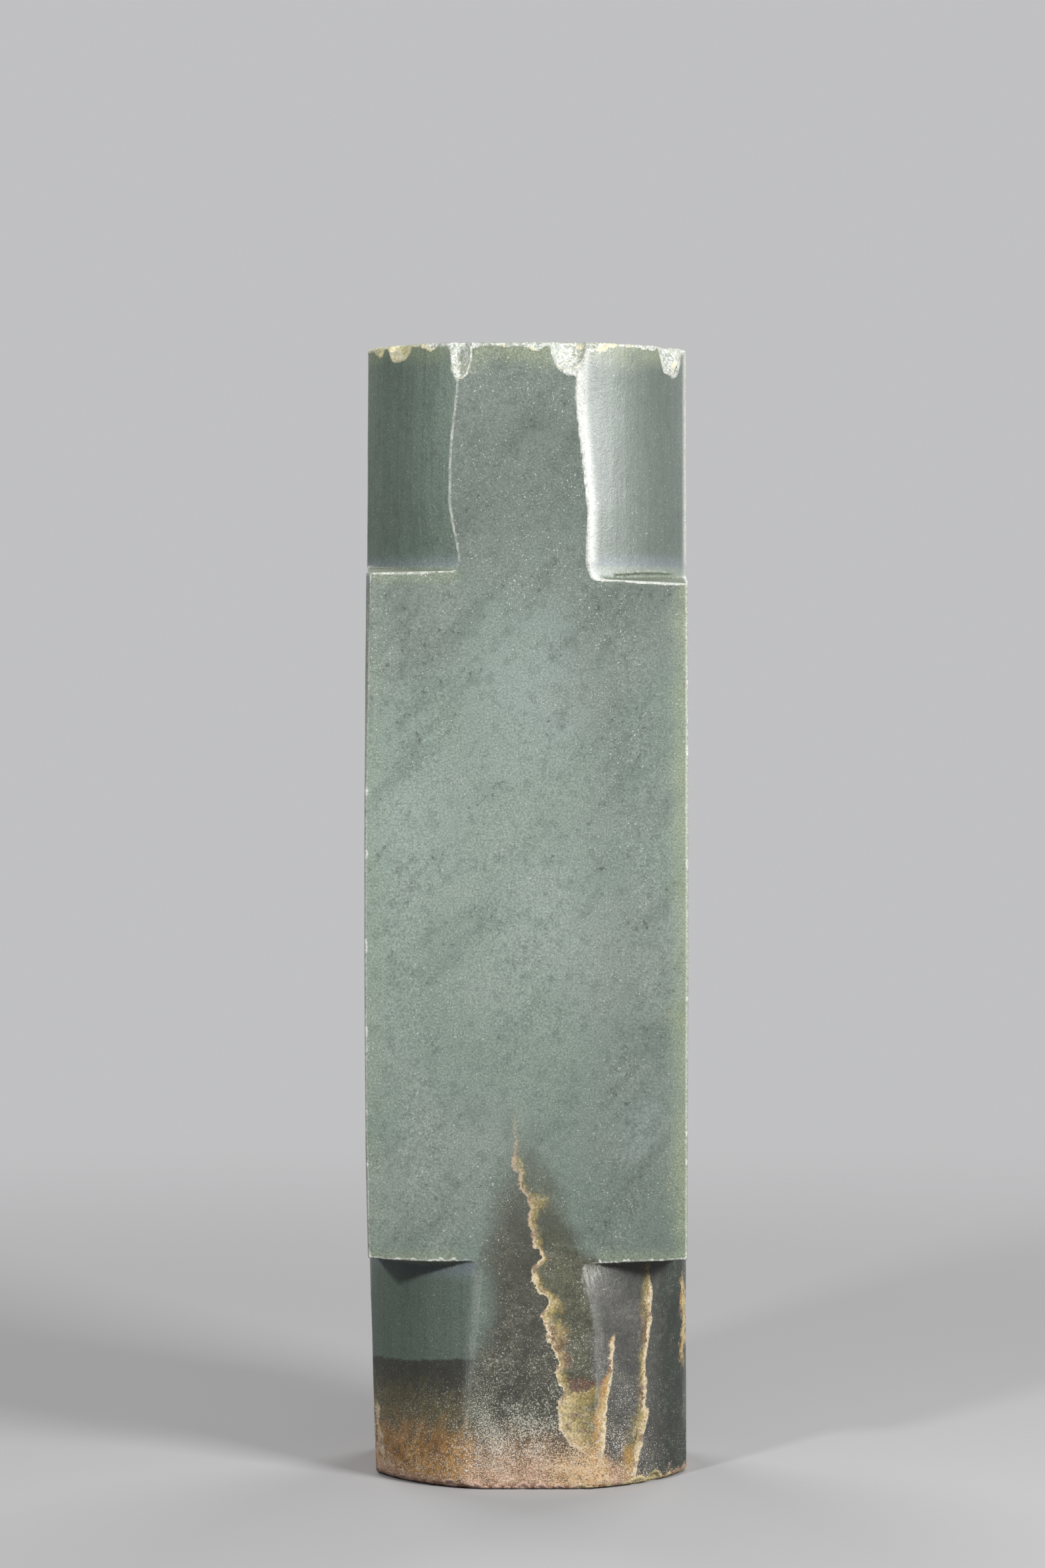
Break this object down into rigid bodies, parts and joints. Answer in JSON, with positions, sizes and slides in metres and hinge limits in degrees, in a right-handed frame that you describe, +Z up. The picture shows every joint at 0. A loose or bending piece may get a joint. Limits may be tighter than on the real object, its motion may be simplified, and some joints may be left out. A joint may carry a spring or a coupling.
{
  "type": "jade cong",
  "caption": "Tall square block of jade with a round collar at each end and a bore right through it, an East Asian ritual vessel form that stands on its foot.",
  "frame": {"origin": "centre of the foot, on the surface that the block stands on", "axes": "+Z up along the bore; the pictured face is towards -Y and +X is to its right"},
  "size_m": [0.0575, 0.0572, 0.2],
  "materials": {
    "jade": "hand-polished grey-green nephrite with cream and russet veins towards the foot"
  },
  "bodies": {
    "root": {"jade_block": "jade"}
  },
  "joints": []
}
